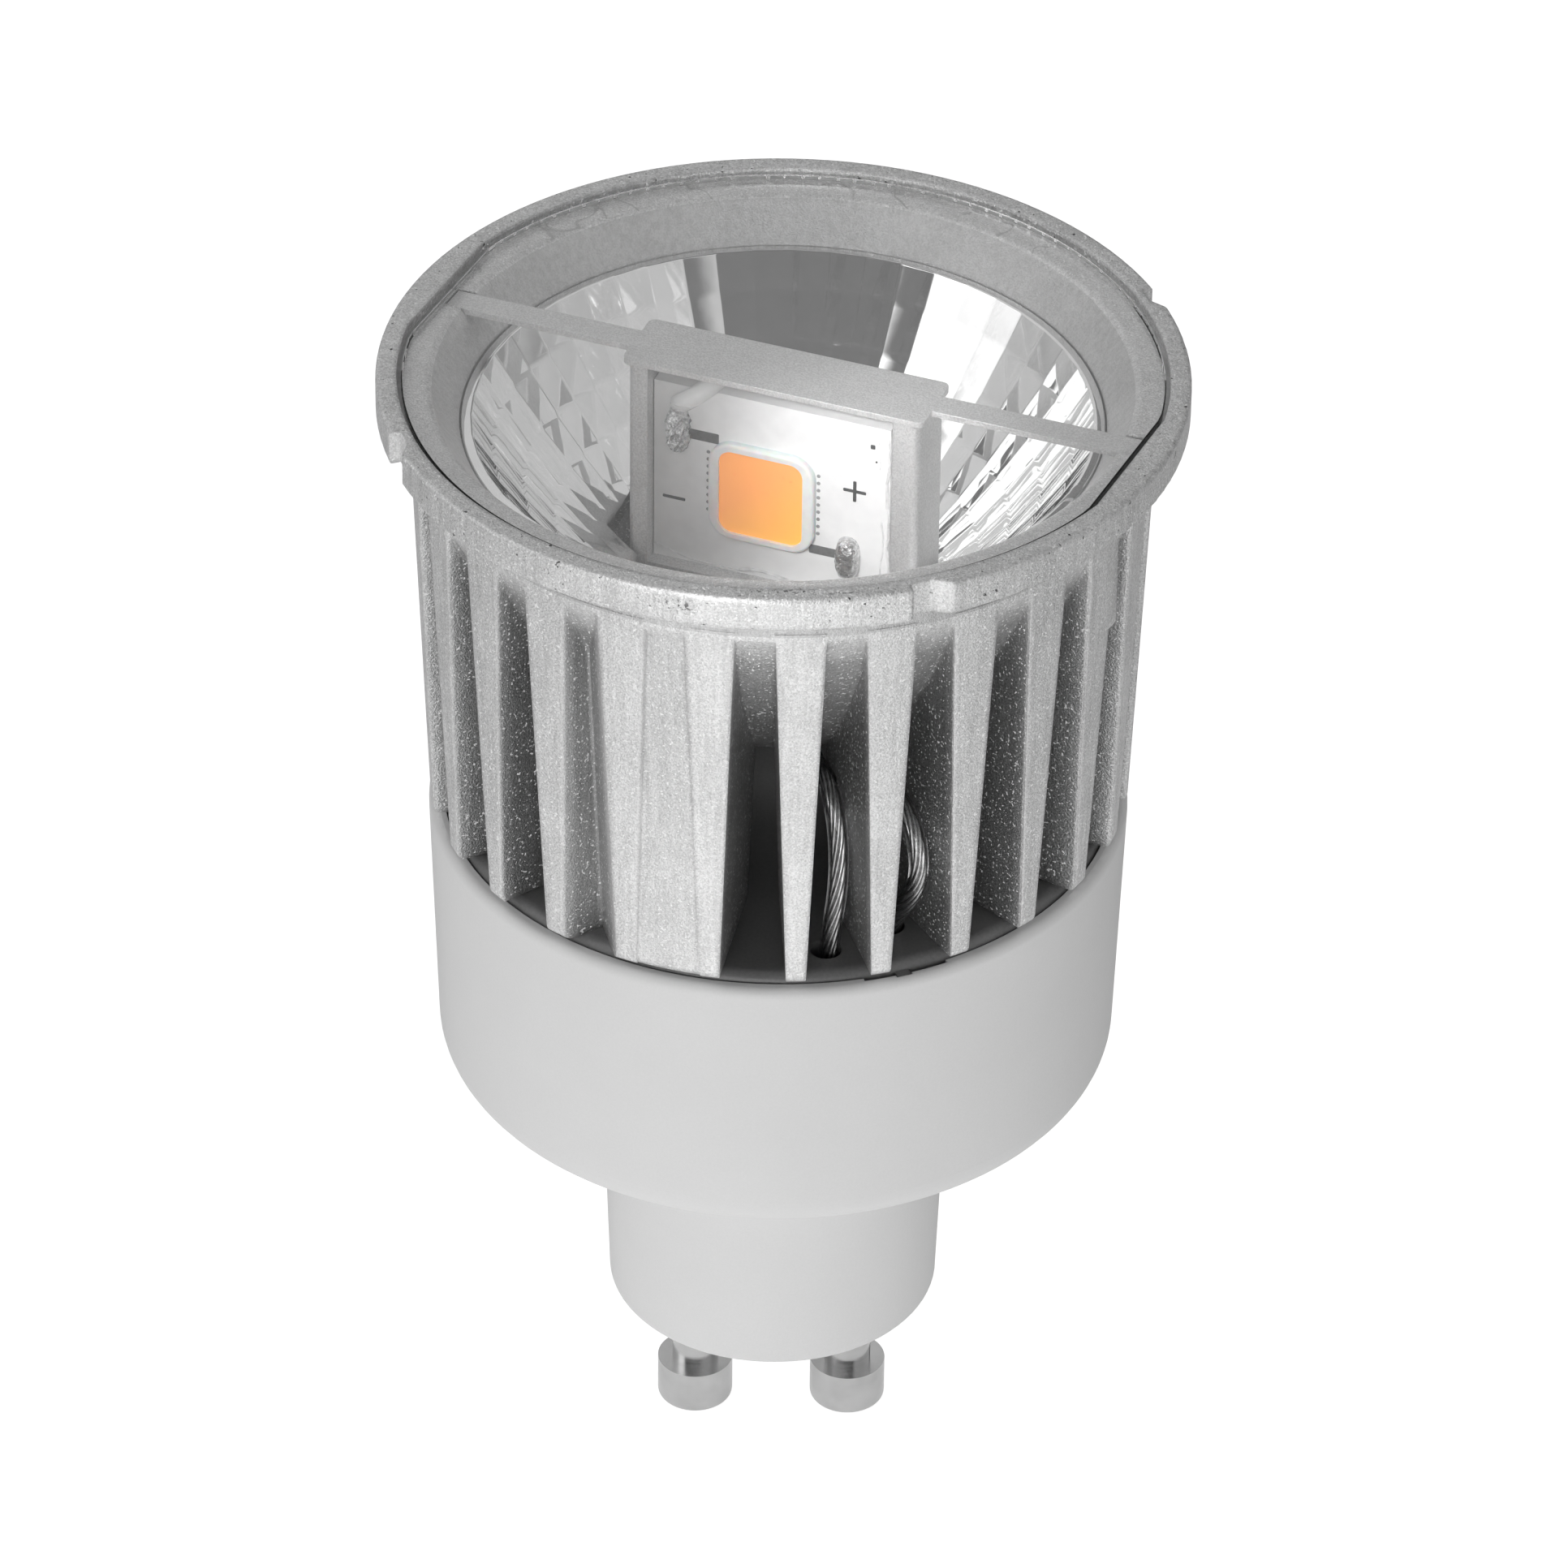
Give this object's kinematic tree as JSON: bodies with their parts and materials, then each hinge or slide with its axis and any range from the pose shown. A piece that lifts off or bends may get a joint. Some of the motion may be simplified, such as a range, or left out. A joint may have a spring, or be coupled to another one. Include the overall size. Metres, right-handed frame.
{
  "type": "gu10 spotlight bulb",
  "caption": "Spotlight bulb with twist-lock pins, a plastic driver housing, a finned cast heat sink, a faceted reflector and a bridge-mounted LED board behind clear glass.",
  "frame": {"origin": "on the lamp's axis, level with the ends of the contact pins", "axes": "+Z along the axis from the pins to the glass; the two pins stand along X; -Y is the pictured side"},
  "size_m": [0.05, 0.05, 0.0799],
  "materials": {
    "cast_silver": "sandy silver paint on a die casting",
    "bridge_grey": "blasted die casting",
    "clear_glass": "clear polished",
    "clear_sealant": "translucent silicone",
    "reflector_metal": "bright vacuum-plated facets",
    "white_ceramic": "white ceramic board with grey traces",
    "white_paste": "thermal paste",
    "white_silicone": "satin white dam",
    "phosphor": "orange phosphor in silicone",
    "solder": "bright solder",
    "clear_lead": "clear insulation over tinned strands",
    "housing_grey": "light grey, finely matt",
    "cover_grey": "dark grey",
    "nickel": "nickel plate",
    "steel": "zinc-plated steel",
    "circuit_board": "solder-masked laminate",
    "ferrite": "dark ferrite",
    "winding_tape": "yellow tape over copper",
    "capacitor_sleeve": "shrink sleeve",
    "film_red": "epoxy-dipped",
    "resistor_body": "lacquered",
    "chip_black": "moulded epoxy",
    "wire_white": "insulated feed wire"
  },
  "bodies": {
    "root": {"heat_sink": "cast_silver", "front_glass": "clear_glass", "glass_seal": "clear_sealant", "reflector": "reflector_metal", "led_bridge": "bridge_grey", "bridge_screws": "steel", "led_board": "white_ceramic", "thermal_paste": "white_paste", "led_dam": "white_silicone", "led_phosphor": "phosphor", "solder_joint_minus": "solder", "solder_joint_plus": "solder", "led_lead_minus": "clear_lead", "led_lead_plus": "clear_lead", "driver_housing": "housing_grey", "housing_cover": "cover_grey", "cover_screws": "steel", "contact_pin_left": "nickel", "contact_pin_right": "nickel", "feed_wire_left": "wire_white", "feed_wire_right": "wire_white", "driver_board": "circuit_board", "transformer_core": "ferrite", "transformer_coil": "winding_tape", "smoothing_capacitor": "capacitor_sleeve", "film_capacitor": "film_red", "choke": "ferrite", "fuse_resistor": "resistor_body", "bridge_rectifier": "chip_black", "driver_chip": "chip_black"}
  },
  "joints": []
}
